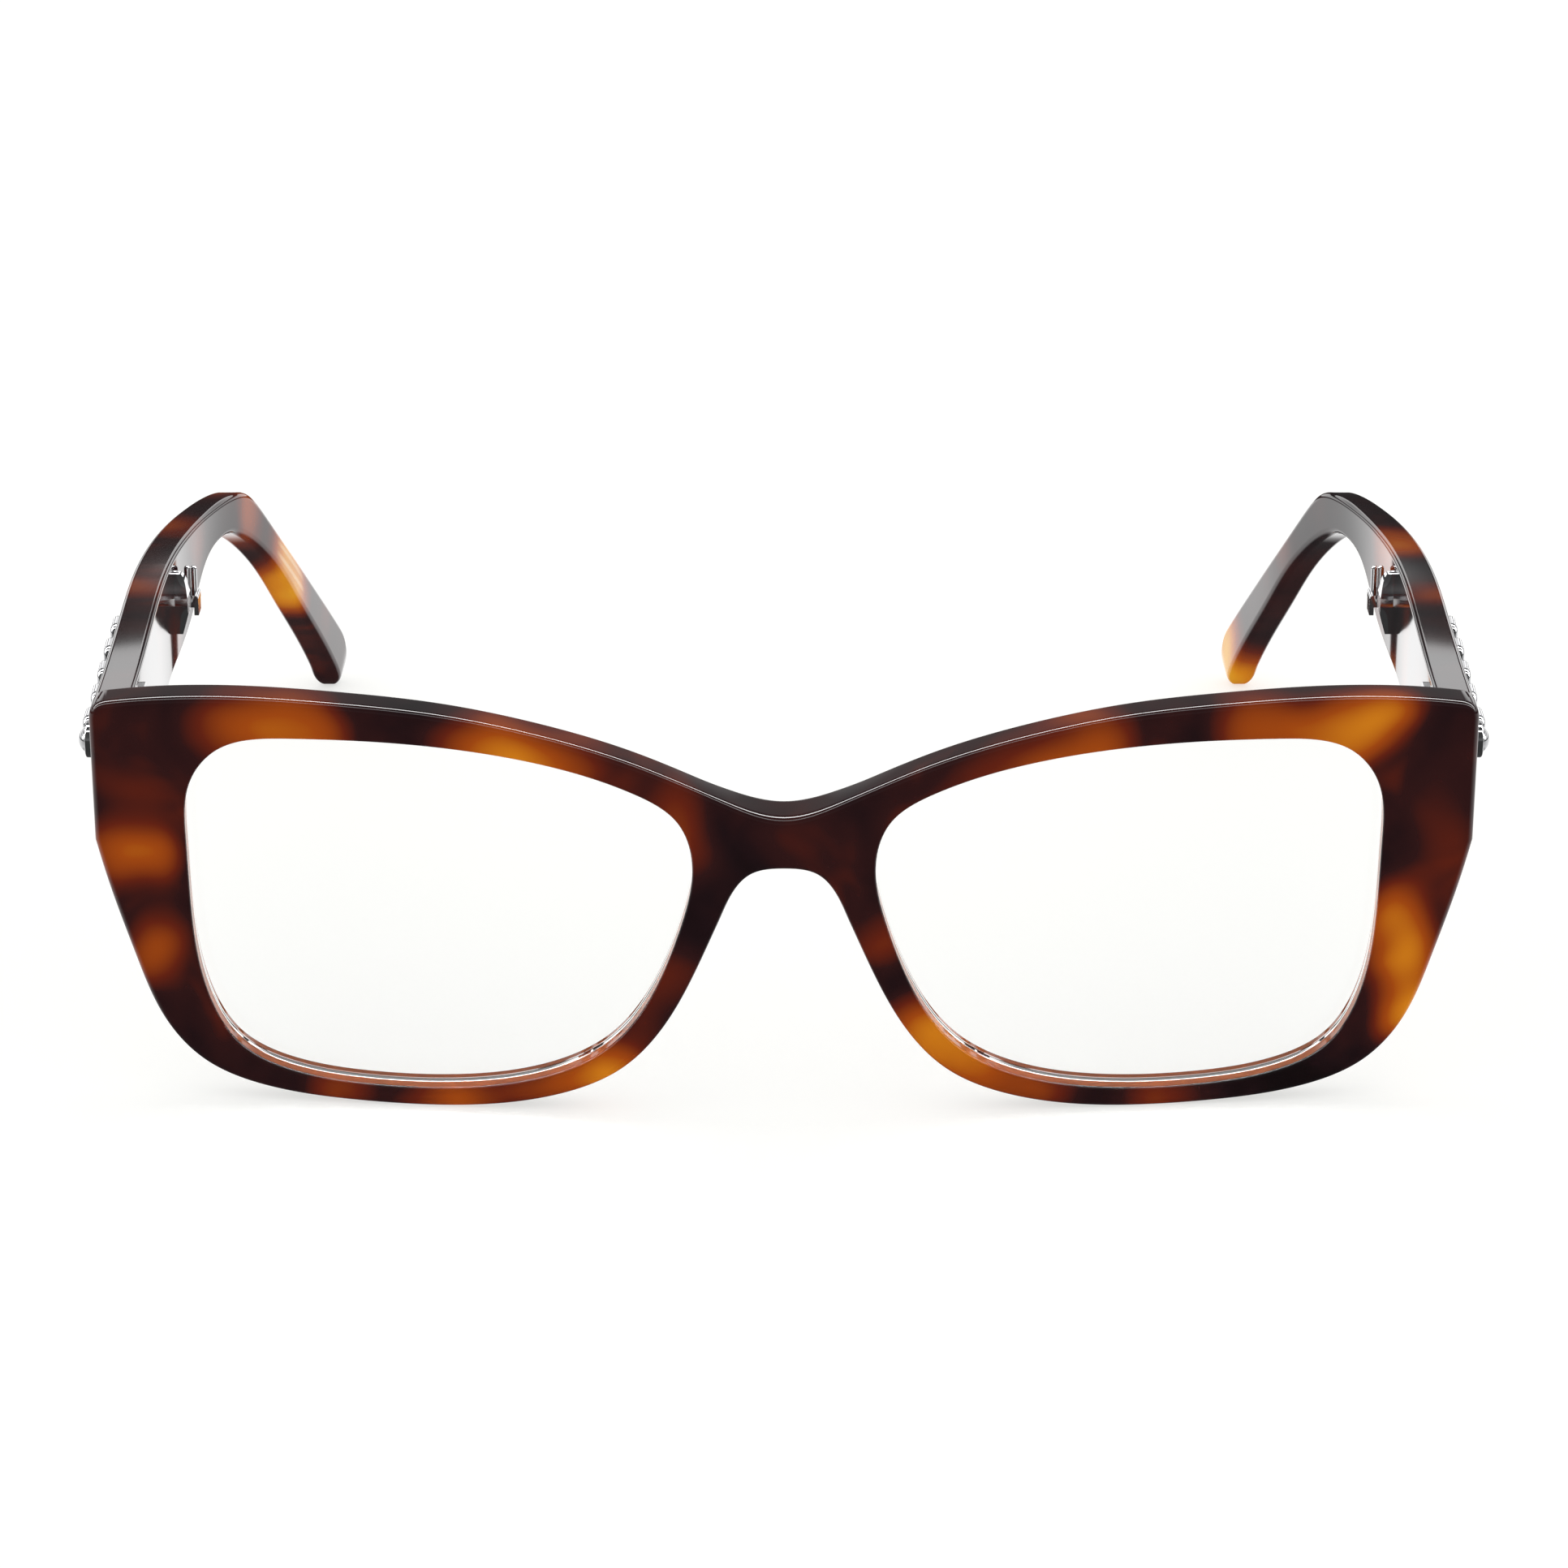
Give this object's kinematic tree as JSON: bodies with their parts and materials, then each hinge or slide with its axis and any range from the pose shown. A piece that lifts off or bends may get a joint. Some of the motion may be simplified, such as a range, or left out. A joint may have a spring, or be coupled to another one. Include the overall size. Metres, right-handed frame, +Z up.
{
  "type": "eyeglasses",
  "caption": "Acetate spectacles with a wide curved front, clear lenses, folding temples on small metal hinges and polished metal trim.",
  "frame": {"origin": "centre of the open glasses' box, on the surface they stand on", "axes": "+X towards the wearer's left, +Y from the front towards the ears, +Z up"},
  "size_m": [0.1474, 0.1424, 0.046],
  "materials": {
    "acetate": "polished tortoiseshell",
    "pad": "polished tortoiseshell",
    "lens": "clear, polished",
    "trim": "mirror polished",
    "hinge": "satin",
    "screw": "satin",
    "wire": "satin"
  },
  "bodies": {
    "front": {"front_frame": "acetate", "left_lens": "lens", "left_nose_pad": "pad", "left_hinge_front_leaf": "hinge", "left_hinge_screw": "screw", "right_lens": "lens", "right_nose_pad": "pad", "right_hinge_front_leaf": "hinge", "right_hinge_screw": "screw"},
    "left_temple": {"left_temple": "acetate", "left_core_wire": "wire", "left_hinge_temple_leaf": "hinge", "left_trim_studs": "trim", "left_trim_bead": "trim", "left_trim_ring": "trim", "left_clasp_leaf": "trim", "left_clasp_block": "trim", "left_clasp_screw": "screw", "left_clasp_prongs": "trim"},
    "right_temple": {"right_temple": "acetate", "right_core_wire": "wire", "right_hinge_temple_leaf": "hinge", "right_trim_studs": "trim", "right_trim_bead": "trim", "right_trim_ring": "trim", "right_clasp_leaf": "trim", "right_clasp_block": "trim", "right_clasp_screw": "screw", "right_clasp_prongs": "trim"}
  },
  "joints": [
    {"name": "left_temple_fold", "type": "hinge", "parent": "front", "child": "left_temple", "pos_m": [0.0653, -0.0601, 0.036], "axis": [0, 0, 1], "range_deg": [0, 84]},
    {"name": "right_temple_fold", "type": "hinge", "parent": "front", "child": "right_temple", "pos_m": [-0.0653, -0.0601, 0.036], "axis": [0, 0, -1], "range_deg": [0, 76]}
  ]
}
